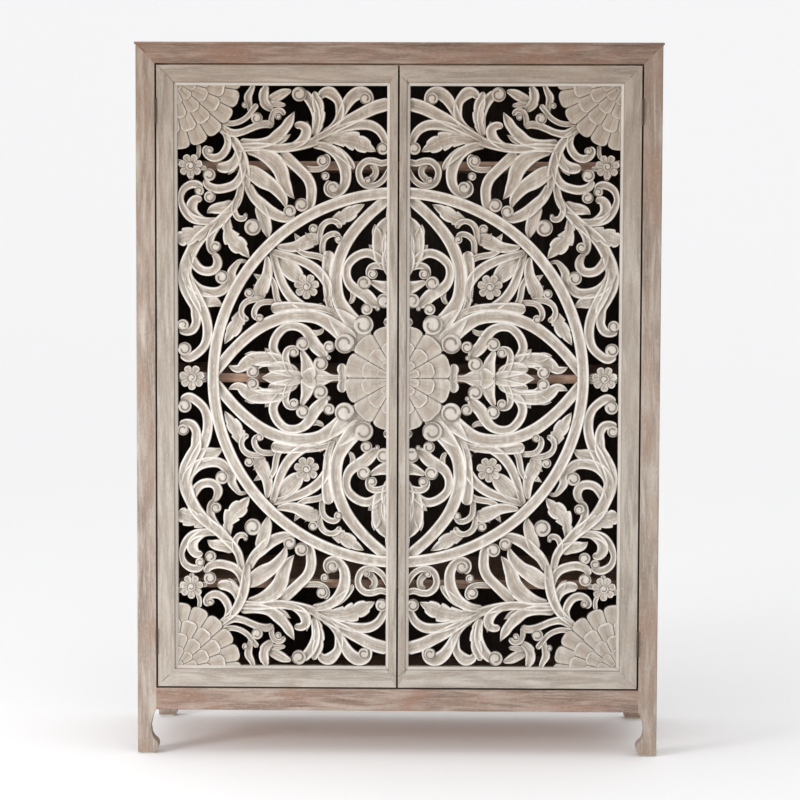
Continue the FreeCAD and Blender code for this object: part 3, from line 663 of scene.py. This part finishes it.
vine_grid = (423, 559)
vine_across = field_out / vine_grid[0]
vine_up = field_half / vine_grid[1]
vine_stems = (
    ((15, 526, 12), (45, 518, 12), (70, 506, 11), (95, 493, 10), (115, 481, 8), (140, 468, 6),
     (165, 455, 5)),
    ((122, 483, 5), (112, 500, 7), (102, 520, 9), (90, 537, 11), (75, 546, 12), (62, 542, 11),
     (57, 530, 8), (64, 524, 5)),
    ((145, 470, 5), (129, 478, 6), (115, 495, 7), (112, 513, 8), (116, 531, 8), (131, 546, 11),
     (145, 544, 8), (150, 534, 4)),
    ((222, 441, 4), (203, 444, 6), (188, 452, 8), (178, 464, 9.5), (177, 477, 9), (187, 484, 7),
     (199, 482, 5)),
    ((161, 466, 5), (158, 484, 7), (157, 501, 8), (162, 519, 9), (172, 535, 9), (186, 547, 8)),
    ((310, 440, 8), (270, 443, 8), (230, 440, 8), (200, 443, 8), (170, 450, 8), (150, 458, 8)),
    ((126, 471, 5), (101, 480, 8), (77, 485, 9), (54, 484, 9), (37, 474, 8), (27, 458, 7),
     (25, 444, 5)),
    ((165, 447, 6), (140, 443, 8), (118, 430, 10), (105, 410, 11), (101, 390, 10), (103, 372, 9),
     (112, 358, 8), (123, 352, 7), (135, 357, 6), (137, 368, 5), (130, 378, 4)),
    ((125, 440, 8), (105, 425, 8), (90, 410, 5), (86, 400, 2)),
    ((180, 402, 5), (165, 400, 5), (150, 401, 5), (139, 408, 5), (136, 420, 5), (142, 428, 4)),
    ((17, 416, 5), (32, 412, 5.5), (48, 416, 6), (62, 415, 6), (73, 405, 6), (76, 391, 5.5),
     (70, 376, 6), (57, 369, 6), (42, 371, 5), (28, 382, 5), (17, 402, 4)),
    ((54, 411, 5), (45, 403, 5.5), (44, 392, 5.5), (51, 383, 6), (59, 377, 6)),
    ((225, 432, 10), (207, 416, 10), (190, 400, 9.5), (174, 383, 9.5), (167, 365, 9.5), (167, 345, 9),
     (170, 330, 8), (178, 322, 6)),
    ((350, 484, 5), (331, 469, 6), (312, 450, 8), (300, 425, 9), (294, 400, 9), (292, 380, 8),
     (290, 360, 6)),
    ((290, 372, 8), (277, 348, 9), (263, 334, 10.5), (247, 320, 11), (230, 311, 10), (212, 307, 8),
     (200, 315, 5)),
    ((303, 352, 5), (312, 335, 5), (314, 320, 5), (307, 307, 5), (296, 306, 5), (292, 313, 3)),
    ((300, 375, 6), (306, 345, 7), (316, 328, 8), (329, 314, 9), (344, 298, 10), (365, 282, 10),
     (385, 262, 11), (399, 237, 11), (408, 212, 12), (410, 188, 11)),
    ((340, 299, 6), (351, 286, 7), (359, 271, 7), (361, 256, 7), (358, 244, 6), (349, 239, 4.5)),
    ((398, 240, 6), (392, 222, 8), (380, 208, 8), (365, 204, 8), (352, 208, 8), (346, 220, 8),
     (350, 233, 6), (358, 238, 4)),
    ((409, 212, 10), (403, 189, 10), (386, 171, 10), (365, 164, 9.5), (344, 165, 9), (330, 175, 9),
     (320, 188, 8)),
    ((289, 222, 2), (303, 224, 3.5), (313, 214, 6), (320, 201, 8), (318, 188, 8), (325, 173, 7)),
    ((345, 302, 5), (370, 300, 7), (395, 306, 8), (410, 322, 7), (417, 342, 5), (412, 360, 6),
     (398, 370, 7), (385, 370, 7), (376, 362, 6)),
    ((350, 300, 4), (375, 302, 7), (392, 315, 9), (396, 330, 10), (388, 342, 8), (376, 341, 5)),
    ((296, 407, 6), (302, 386, 7), (313, 371, 8), (330, 364, 8), (348, 362, 8), (364, 368, 7),
     (371, 380, 5)),
    ((340, 482, 4), (331, 468, 5), (326, 452, 6), (330, 437, 7), (340, 425, 7), (353, 421, 7),
     (365, 426, 6), (369, 436, 6), (363, 443, 4)),
    ((398, 406, 6), (426, 414, 5)),
    ((398, 406, 5), (367, 401, 4)),
    ((398, 406, 5), (397, 379, 4)),
    ((383, 447, 3.5), (382, 432, 3.5), (387, 420, 3.5)),
    ((340, 492, 5), (322, 487, 4.5), (305, 490, 4.5), (290, 499, 4.5), (280, 511, 4.5),
     (270, 524, 4.5)),
    ((345, 484, 6), (320, 469, 7), (299, 471, 6), (282, 478, 6), (267, 484, 6.5), (251, 486, 6.5),
     (240, 481, 5)),
    ((283, 505, 3), (285, 520, 5), (288, 537, 7), (282, 550, 5), (277, 562, 3)),
    ((243, 482, 4.5), (243, 497, 4.5), (237, 510, 4.5), (225, 512, 4.5), (218, 503, 4)),
    ((402, 197, 8), (400, 180, 10), (388, 155, 11), (375, 130, 10), (367, 105, 9), (366, 80, 9),
     (373, 60, 8), (388, 45, 8), (403, 38, 8), (417, 45, 6)),
    ((409, 219, 9), (412, 197, 11), (408, 176, 12), (399, 155, 11), (389, 136, 10), (388, 120, 9),
     (388, 105, 8), (395, 92, 8), (407, 88, 7), (420, 92, 6)),
    ((396, 0, 7), (366, 3, 7)),
    ((396, 0, 7), (423, 3, 7)),
)
stems = [(0.0, *row) for row in vine_stems]
carve_bands("vine_stems", turned_rows(sized(stems, vine_across, vine_up), False))

# Leaves outside the ring
# Broad leaves and small buds along the vines, in rows like those inside the ring.

vine_leaves = (
    (0.3, (164, 464, 6), (154, 484, 9), (152, 505, 11), (155, 527, 10), (162, 548, 4)),
    (0.25, (240, 512, 6), (255, 525, 9), (258, 542, 9), (252, 560, 6)),
    (0, (250, 530, 7), (235, 537, 9), (220, 545, 8), (205, 550, 2)),
    (0, (248, 525, 5), (232, 524, 5), (216, 522, 2)),
    (0, (173, 472, 7), (175, 493, 0)),
    (0, (305, 450, 9), (273, 448, 9), (248, 453, 9), (231, 464, 11), (217, 479, 9), (208, 493, 8),
     (199, 510, 0)),
    (0, (234, 452, 6), (219, 458, 5), (206, 467, 0)),
    (0.4, (151, 456, 8), (111, 459, 14), (84, 454, 18), (62, 444, 13), (43, 434, 0)),
    (0, (291, 437, 7), (265, 430, 10), (240, 417, 15), (226, 398, 14), (220, 378, 12), (212, 360, 9),
     (199, 343, 0)),
    (0, (296, 400, 9), (278, 392, 14), (259, 379, 15), (241, 368, 12), (228, 355, 10), (219, 341, 7),
     (215, 324, 0)),
    (0, (267, 334, 10), (260, 314, 12), (255, 296, 11), (251, 281, 8), (249, 266, 0)),
    (0.4, (327, 310, 5), (327, 285, 10), (318, 265, 17), (302, 250, 15), (285, 230, 0)),
    (0.4, (365, 285, 10), (390, 275, 16), (412, 268, 18), (425, 262, 18)),
    (0, (314, 333, 11), (331, 327, 11), (346, 325, 10), (358, 322, 7), (367, 315, 0)),
    (0, (305, 440, 6), (309, 422, 8), (318, 409, 10), (332, 403, 10), (348, 404, 7)),
    (0, (314, 407, 7), (321, 397, 5), (326, 389, 0)),
    (0, (385, 151, 14), (368, 149, 13), (351, 145, 9), (336, 136, 0)),
)
carve_bands("vine_leaves", turned_rows(sized(vine_leaves, vine_across, vine_up), False))

# Scroll ends
# Every scroll ends in a round button with a gouged groove round a low dome, with painted shade in the groove
# and lime and painted highlight on the dome. Each is given as its place and its radius, in the same units as
# the bands beside it.

ball_sides = 24
ball_reaches = (0.97, 0.92, 0.86, 0.8, 0.74, 0.68, 0.62, 0.56, 0.5, 0.43, 0.35, 0.26, 0.17, 0.08, 0.01)
ball_drop = 13.6 * mm
ball_edge_drop = 1.5 * mm
ball_dome = 1.3 * mm
ball_groove = 2.2 * mm
ball_lime_and_highlight = 0.35
groove_shade = 0.45
dome_shade = 0.03
groove_start = 0.46
groove_growth = 0.5
groove_width = 0.1
turn_step = 2.4
ring_balls = (
    (102, 66, 19), (148, 27, 14), (133, 39, 4.5), (132, 60, 11), (182, 65, 13), (199, 49, 9.5),
    (278, 12, 12), (114, 265, 8), (162, 285, 9),
)
vine_balls = (
    (64, 535, 11), (190, 543, 14), (30, 440, 12), (125, 365, 12), (145, 416, 11), (140, 387, 8),
    (59, 379, 7), (185, 332, 13), (208, 320, 12), (279, 289, 16), (293, 312, 4), (350, 252, 10),
    (338, 193, 13), (381, 358, 9), (361, 347, 11), (362, 389, 12), (361, 436, 7), (271, 497, 11),
    (294, 522, 6), (230, 500, 6), (410, 55, 13), (413, 101, 11),
)


def curled(name):
    """A low dome of unit radius with a groove that winds once round its middle."""
    # The edge: a little lime and painted highlight at the top, painted shade down its side.
    rows = [(1, -ball_drop, 0, 1), (1, -ball_edge_drop, 0.2, 0.15)]
    rows += [(reach, None, 0, 0) for reach in ball_reaches]
    places, rims, walls = [], [], []
    for reach, height, rim, wall in rows:
        for step in range(ball_sides):
            share = step / ball_sides
            groove = groove_start + groove_growth * share
            cut = math.exp(-((reach - groove) / groove_width) ** 2)
            up = ball_dome * (1 - reach ** 4) - ball_groove * cut if height is None else height
            turn = 2 * math.pi * share
            places.append((reach * math.cos(turn), reach * math.sin(turn), up))
            # Lime and painted highlight on the dome, painted shade in the groove.
            rims.append(max(0.0, ball_lime_and_highlight - cut) if height is None else rim)
            walls.append(dome_shade + groove_shade * cut if height is None else wall)
    faces = [tuple(range(ball_sides))[::-1], tuple(range(len(places) - ball_sides, len(places)))]
    for row in range(len(rows) - 1):
        for step, after in loop_of(ball_sides):
            low, high = row * ball_sides, (row + 1) * ball_sides
            faces.append((low + step, low + after, high + after, high + step))
    return loose_mesh(name, places, (), faces, rim=rims, wall=walls)


def points(name, spots, side):
    """Loose points with a radius and a turn each, above and below the middle."""
    every = []
    for number, (a, b, up, radius) in enumerate(spots):
        every.append((side * a, b, up, radius, number * turn_step))
        if b:
            every.append((side * a, -b, up, radius, -number * turn_step))
    guide = {"radius": [spot[3] for spot in every], "turn": [spot[4] for spot in every]}
    return loose_mesh(name, [spot[:3] for spot in every], **guide)


def flat_scale(tree):
    """The scale that makes a unit shape as wide as the point says and leaves its height alone."""
    radius = add(tree, "GeometryNodeInputNamedAttribute", {"Name": "radius"}, "Attribute")
    return add(tree, "ShaderNodeCombineXYZ", [radius, radius, 1.0])


def button_tree():
    """A copy of one shape on each point, as wide as the point says."""
    tree, given = new_tree("buttons", Shape="Object", Finish="Material")
    shape = add(tree, "GeometryNodeObjectInfo", {"Object": given["Shape"]}, "Geometry")
    turn = add(tree, "GeometryNodeInputNamedAttribute", {"Name": "turn"}, "Attribute")
    turn = add(tree, "ShaderNodeCombineXYZ", {"Z": turn})
    inputs = {"Points": given["Geometry"], "Instance": shape, "Scale": flat_scale(tree), "Rotation": turn}
    end_tree(tree, given, add(tree, "GeometryNodeInstanceOnPoints", inputs))
    return tree


ball = curled("scroll_end")
buttons = button_tree()
spots = [(a * mm, b * mm, 0, radius * mm) for a, b, radius in ring_balls]
spots += [(b, a, up, radius) for a, b, up, radius in spots]
spots += [(a * vine_across, b * vine_up, 0, radius * vine_across) for a, b, radius in vine_balls]
for side in (-1, 1):
    made = grown(points("scroll_end_places", spots, side), buttons, Shape=ball, Finish=whitewashed)
    carved_piece("scroll_ends", made, side)

# Rosettes and flowers
# Overlapping tiers of petals: four tiers of 12, 12, 12 and 6 on the middle rosette, and five of
# 22, 18, 14, 12 and 8 on each corner one. Small round flowers of seven petals fill the gaps.

petal_rows = 12
petal_columns = (-1, -0.9, -0.75, -0.45, -0.12, 0, 0.12, 0.45, 0.75, 0.9, 1)
petal_hollow = 1.1 * mm
petal_crease = 0.9 * mm
petal_slope = 2.0 * mm
petal_edge = 1.8 * mm
petal_drop = 13.3 * mm
petal_root = 0.3
side_rim_share = 0.7
tip_rim_share = 0.8
rim_end_share = 0.97
# Lime and painted highlight along the petals' sides and tips, and painted shade at their borders and in
# their creases.
side_lime_and_highlight = 0.2
tip_lime_and_highlight = 0.75
border_share = 0.99
border_shade = 0.5
crease_share = 0.6
crease_shade = 0.12
tip_power = 2.4
least_half = 0.002

# Each tier: its share of the radius, its rise in mm, its turn in petals, its petals and how much
# of a petal's length is its round tip.
middle_tiers = ((1.0, 0.0, 0.5, 12, 0.11), (0.7, 1.4, 0.5, 12, 0.15), (0.41, 2.6, 0.5, 12, 0.2),
                (0.19, 3.6, 0.5, 6, 0.3))
corner_tiers = ((1.0, 0.0, 0.0, 22, 0.09), (0.77, 1.2, 0.5, 18, 0.12), (0.56, 2.2, 0.0, 14, 0.16),
                (0.36, 3.0, 0.5, 12, 0.2), (0.18, 3.6, 0.0, 8, 0.3))
flower_spots = ((175, 175, 24),)
vine_flower_spots = ((398, 406, 23), (396, 0, 24))
flower_count = 7
flower_root = 0.12
flower_tip = 0.34
flower_turn = 0.25
flower_middle_share = 0.36
flower_middle_rise = 0.6 * mm


def petal(name, count, root, tip):
    """One petal of unit length along X from a root share, with its round tip share, for a ring."""
    places, rims, walls, faces = [], [], [], []
    widest = (1 - tip) * math.tan(math.pi / count)
    for row in range(petal_rows + 1):
        out = root + (1 - root) * math.sin(math.pi / 2 * row / petal_rows)
        half = out * math.tan(math.pi / count)
        near_tip = max(0.0, (out - 1 + tip) / tip)
        if near_tip > 0:
            half = widest * max(0.0, 1 - near_tip ** tip_power) ** (1 / tip_power) + least_half
        for across in petal_columns:
            edge = max(abs(across), near_tip)
            border = edge > border_share
            creased = across == 0 and near_tip < crease_share
            up = petal_slope * (out - 1) - petal_hollow * (1 - edge ** 4)
            up -= petal_edge * border + petal_crease * creased
            places.append((out, across * half, up))
            lime_and_highlight_share = side_lime_and_highlight if side_rim_share < edge < rim_end_share else 0.0
            if near_tip > 0 and tip_rim_share < edge < rim_end_share:
                lime_and_highlight_share = tip_lime_and_highlight
            rims.append(lime_and_highlight_share)
            # Painted shade at the border, where the petals tuck under, and in the crease.
            walls.append(border_shade if border else crease_shade if creased else 0.0)
    width = len(petal_columns)
    top = len(places)
    places += [(x, y, -petal_drop) for x, y, up in places]
    rims += [0.0] * top
    walls += [1.0] * top
    for row in range(petal_rows):
        for column in range(width - 1):
            first = row * width + column
            quad = (first, first + 1, first + width + 1, first + width)
            faces += [quad, tuple(index + top for index in quad)[::-1]]
    edges = [row * width for row in range(petal_rows, -1, -1)] + list(range(1, width))
    edges += [row * width + width - 1 for row in range(1, petal_rows + 1)]
    edges += [petal_rows * width + column for column in range(width - 2, 0, -1)]
    for first, after in zip(edges, edges[1:] + edges[:1]):
        faces.append((first, after, after + top, first + top))
    return loose_mesh(name, places, (), faces, rim=rims, wall=walls)


def petal_tree():
    """A ring of petals on each point, as wide as the point says and turned by part of a petal."""
    tree, given = new_tree("petal_rings", Shape="Object", Count="Int", Turn="Float", Finish="Material")
    shape = add(tree, "GeometryNodeObjectInfo", {"Object": given["Shape"]}, "Geometry")
    circle = add(tree, "GeometryNodeMeshCircle", {"Vertices": given["Count"], "Radius": 0.0})
    index = add(tree, "GeometryNodeInputIndex")
    number = add(tree, "ShaderNodeMath", [index, given["Turn"]], operation="ADD")
    share = add(tree, "ShaderNodeMath", [number, given["Count"]], operation="DIVIDE")
    turn = add(tree, "ShaderNodeMath", [share, 2 * math.pi], operation="MULTIPLY")
    turn = add(tree, "ShaderNodeCombineXYZ", {"Z": turn})
    ring = add(tree, "GeometryNodeInstanceOnPoints", {"Points": circle, "Instance": shape, "Rotation": turn})
    inputs = {"Points": given["Geometry"], "Instance": ring, "Scale": flat_scale(tree)}
    end_tree(tree, given, add(tree, "GeometryNodeInstanceOnPoints", inputs))
    return tree


rosette_tones = ("#8C8074", "#A89E93", "#BBB4AA", "#A59A8D")
# The rims' lime with painted highlight, the painted shade in the hollows, the painted shade down the walls
# (also the dark of the bare back), and the bare back's grain.
rosette_shades = ("#D6D1CA", "#998D80", "#453A30", "#857362")
limed_rosettes = carved_wood("limed_mango_rosettes", rosette_tones, *rosette_shades)
petals = petal_tree()
rosettes = (("middle", (0, 0), middle_radius, middle_tiers),
            ("corner", corner_spot, corner_radius, corner_tiers))
flower_petal = petal("flower_petal", flower_count, flower_root, flower_tip)
flower_ring = {"Shape": flower_petal, "Count": flower_count, "Turn": flower_turn, "Finish": whitewashed}
flowers = [(a * mm, b * mm, 0, radius * mm) for a, b, radius in flower_spots]
flowers += [(a * vine_across, b * vine_up, 0, radius * vine_across) for a, b, radius in vine_flower_spots]
middles = [(a, b, flower_middle_rise, radius * flower_middle_share) for a, b, up, radius in flowers]
for side in (-1, 1):
    for name, spot, radius, tiers in rosettes:
        for number, (share, rise, turn, count, tip) in enumerate(tiers):
            one = petal("rosette_petal", count, petal_root, tip)
            places = points("rosettes", [(*spot, rise * mm, radius * share)], side)
            made = grown(places, petals, Shape=one, Count=count, Turn=turn, Finish=limed_rosettes)
            carved_piece(f"{name}_rosette_tier_{number + 1}", made, side)
            bpy.data.objects.remove(one)
    carved_piece("flowers", grown(points("flowers", flowers, side), petals, **flower_ring), side)
    made = grown(points("flower_middles", middles, side), buttons, Shape=ball, Finish=whitewashed)
    carved_piece("flower_middles", made, side)
for pattern in (profile, ball, flower_petal):
    bpy.data.objects.remove(pattern)

# The carved boards' margins
# The uncut margin of each board, sawn square and limed like the rest. It sits in the rebate of
# its door frame, behind the lip.


def rectangle(low, high):
    """The corners of an upright rectangle in order."""
    return [low, (high[0], low[1]), high, (low[0], high[1])]


edges = rectangle((panel_low.x, panel_low.z), (panel_high.x, panel_high.z))
edges += rectangle((field_in, field_low), (field_out, field_high))
for side in (-1, 1):
    places = [(side * x, z - carving_middle, up) for up in (0, -board_thickness) for x, z in edges]
    faces = []
    for here, after in loop_of(4):
        faces += [(here, after, after + 4, here + 4), (here + 12, after + 12, after + 8, here + 8)]
        faces += [(here, here + 8, after + 8, after), (here + 4, after + 4, after + 12, here + 12)]
    margin = loose_mesh("margin", places, (), faces)
    mesh = margin.data
    bpy.data.objects.remove(margin)
    mesh.materials.append(whitewashed)
    carved_piece("carving_margin", mesh, side)

# Hinges
# Lift-off hinges of dark bronzed steel in the gap beside each door. Three slotted screws hold
# each leaf to the post or to the door's edge.

screw_radius = 2.4 * mm
screw_rise = 0.25 * mm
screw_floor = 0.06 * mm
screw_bevel = 0.2 * mm
slot_half_width = 0.3 * mm
screw_arc_steps = 12
screw_shares = (0.2, 0.5, 0.8)
screw_stagger = 2.2 * mm
screw_from_back = 7.0 * mm
leaf_thickness = 1.2 * mm


def plain(name, dull, bright, metallic, roughness, grain, relief):
    """A plain finish with a faint mottle."""
    material, tree, shader, place = new_material(name)
    mottle = noise(tree, place, [grain] * 3)
    shade = glazed(tree, colour(dull), (mottle, 0.35, 0.65, 1.0, colour(bright)))
    rough = add(tree, "ShaderNodeMapRange", [mottle, 0.3, 0.7, *roughness])
    bump = add(tree, "ShaderNodeBump", {"Strength": 0.3, "Distance": relief, "Height": mottle})
    feed(tree, shader, {"Base Color": shade, "Metallic": metallic, "Roughness": rough, "Normal": bump})
    return material


bronzed = plain("bronzed_steel", "#3A322B", "#54483C", 0.9, (0.35, 0.55), 4 * mm, 0.05 * mm)
for level in ("upper", "lower"):
    for hand in ("left", "right"):
        parts = [f"{level}_hinge_{part}_{hand}" for part in ("frame_leaf", "pin", "door_leaf")]
        dress(bronzed, "hinge_metal", *parts)


def slotted_head(name):
    """A screw head that faces X: two half discs with a slot between them, on a thin floor."""
    places, faces = [], []
    tiers = ((0, screw_radius), (screw_rise - screw_bevel / 2, screw_radius),
             (screw_rise, screw_radius - screw_bevel))
    for sign in (-1, 1):
        rings = []
        for rise, reach in tiers:
            start = math.asin(slot_half_width / reach)
            rings.append(range(len(places), len(places) + screw_arc_steps + 1))
            for step in range(screw_arc_steps + 1):
                turn = start + (math.pi - 2 * start) * step / screw_arc_steps
                places.append((rise, sign * reach * math.sin(turn), sign * reach * math.cos(turn)))
        for low, high in zip(rings, rings[1:]):
            for step, after in loop_of(screw_arc_steps + 1):
                faces.append((low[step], low[after], high[after], high[step]))
        faces += [tuple(rings[0])[::-1], tuple(rings[-1])]
    first, sides = len(places), 2 * screw_arc_steps
    for rise in (0, screw_floor):
        for step in range(sides):
            turn = 2 * math.pi * step / sides
            places.append((rise, screw_radius * math.sin(turn), screw_radius * math.cos(turn)))
    faces += [tuple(range(first, first + sides))[::-1], tuple(range(first + sides, first + 2 * sides))]
    for here, after in loop_of(sides):
        faces.append((first + here, first + after, first + sides + after, first + sides + here))
    return loose_mesh(name, places, (), faces)


def screw_tree():
    """A screw head on each point, turned by the point's slot angle and towards its side."""
    tree, given = new_tree("screws", Shape="Object", Finish="Material")
    shape = add(tree, "GeometryNodeObjectInfo", {"Object": given["Shape"]}, "Geometry")
    slot_turn = add(tree, "GeometryNodeInputNamedAttribute", {"Name": "slot_turn"}, "Attribute")
    facing = add(tree, "GeometryNodeInputNamedAttribute", {"Name": "facing"}, "Attribute")
    turn = add(tree, "ShaderNodeCombineXYZ", {"X": slot_turn, "Z": facing})
    inputs = {"Points": given["Geometry"], "Instance": shape, "Rotation": turn}
    end_tree(tree, given, add(tree, "GeometryNodeInstanceOnPoints", inputs))
    return tree


head = slotted_head("screw_head")
screws = screw_tree()
door_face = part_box("right_door_hinge_stile")[1].x + leaf_thickness
post_face = opening_half - leaf_thickness
for leaf, face, facing in (("frame_leaf", post_face, math.pi), ("door_leaf", door_face, 0.0)):
    for side, hand in ((-1, "left"), (1, "right")):
        spots = []
        for level in ("upper", "lower"):
            low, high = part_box(f"{level}_hinge_{leaf}_{hand}")
            for number, share in enumerate(screw_shares):
                y = high.y - screw_from_back + screw_stagger * (-1) ** number
                spots.append((side * face, y, low.z + share * (high.z - low.z)))
        facings = [facing if side > 0 else math.pi - facing] * len(spots)
        turns = [turn_step * (number + 1) for number in range(len(spots))]
        guide = loose_mesh("screw_places", spots, slot_turn=turns, facing=facings)
        mesh = grown(guide, screws, Shape=head, Finish=bronzed)
        piece = bpy.data.objects.new(f"{hand}_hinge_{leaf}_screws", mesh)
        bpy.context.scene.collection.objects.link(piece)
        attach(piece, "carcass" if leaf == "frame_leaf" else f"{hand}_door")
bpy.data.objects.remove(head)

# Catches, strike plates and glides
# A small magnet catch under the door stop for each door, its thin steel strike plate on the
# door, and a plastic glide under each leg.

catch_brown = plain("brown_catch_plastic", "#2B1F18", "#33261E", 0.0, (0.45, 0.55), 6 * mm, 0.03 * mm)
strike_steel = plain("strike_steel", "#A9A9A6", "#BDBDBA", 1.0, (0.3, 0.42), 3 * mm, 0.02 * mm)
glide_white = plain("glide_plastic", "#B5B1A8", "#C2BEB5", 0.0, (0.5, 0.6), 5 * mm, 0.03 * mm)
for hand in ("left", "right"):
    dress(catch_brown, "catch_plastic", f"magnet_catch_{hand}")
    dress(strike_steel, "strike_steel", f"strike_plate_{hand}")
    dress(glide_white, "glide_plastic", f"glide_front_{hand}", f"glide_back_{hand}")

# Floor and lights
# A plain pale floor that curves up far behind the cabinet, lit softly from the front left, as
# in a studio.

floor_half_width = 14.0
floor_front = -12.0
floor_back = 8.0
bend_radius = 4.0
wall_height = 9.0
bend_steps = 12
outline = [(floor_front, 0.0)]
for step in range(bend_steps + 1):
    turn = math.pi / 2 * step / bend_steps
    outline.append((floor_back + bend_radius * math.sin(turn), bend_radius * (1 - math.cos(turn))))
outline.append((floor_back + bend_radius, wall_height))
places = [(x, y, z) for y, z in outline for x in (-floor_half_width, floor_half_width)]
strips = [(2 * row, 2 * row + 1, 2 * row + 3, 2 * row + 2) for row in range(len(outline) - 1)]
floor = loose_mesh("studio_floor", places, (), strips)
floor.data.shade_smooth()
floor_paint, floor_nodes, floor_shader = new_material("matt_studio_paper")[:3]
feed(floor_nodes, floor_shader, {"Base Color": colour("#FAFAFB"), "Roughness": 0.9})
floor.data.materials.append(floor_paint)


def softbox(name, place, aim, size, power):
    """A square white area light that faces a point."""
    data = bpy.data.lights.new(name, "AREA")
    data.size = size
    data.energy = power
    lamp = bpy.data.objects.new(name, data)
    lamp.location = place
    lamp.rotation_euler = (Vector(aim) - Vector(place)).to_track_quat("-Z", "Y").to_euler()
    bpy.context.scene.collection.objects.link(lamp)


softbox("key", place=(-2.7, -2.6, 0.9), aim=(0, 0, 0.3), size=1.2, power=82)
softbox("fill", place=(2.2, -4.2, 0.9), aim=(0, 0, 0.2), size=2.6, power=20)
world = bpy.data.worlds.new("studio")
world.use_nodes = True
feed(world.node_tree, world.node_tree.nodes["Background"], {"Color": colour("#FFFFFF"), "Strength": 0.94})
bpy.context.scene.world = world

# Camera
# It stands where the photographer's did: a little right of the middle, a metre up and about
# five metres in front of the cabinet.

camera_place = Vector((0.0909, -5.216, 1.0415))
yaw, pitch, roll = 0.0173, 0.0707, -0.0033
lens_length = 118.4
right = Vector((math.cos(yaw), math.sin(yaw), 0))
forward = Vector((-math.sin(yaw) * math.cos(pitch), math.cos(yaw) * math.cos(pitch), -math.sin(pitch)))
upward = right.cross(forward)
side_axis = right * math.cos(roll) - upward * math.sin(roll)
up_axis = right * math.sin(roll) + upward * math.cos(roll)
camera_data = bpy.data.cameras.new("camera")
camera_data.lens = lens_length
camera = bpy.data.objects.new("camera", camera_data)
turn = Matrix((side_axis, up_axis, -forward)).transposed().to_4x4()
camera.matrix_world = Matrix.Translation(camera_place) @ turn
bpy.context.scene.collection.objects.link(camera)
bpy.context.scene.camera = camera

bpy.context.scene.view_settings.view_transform = "Standard"
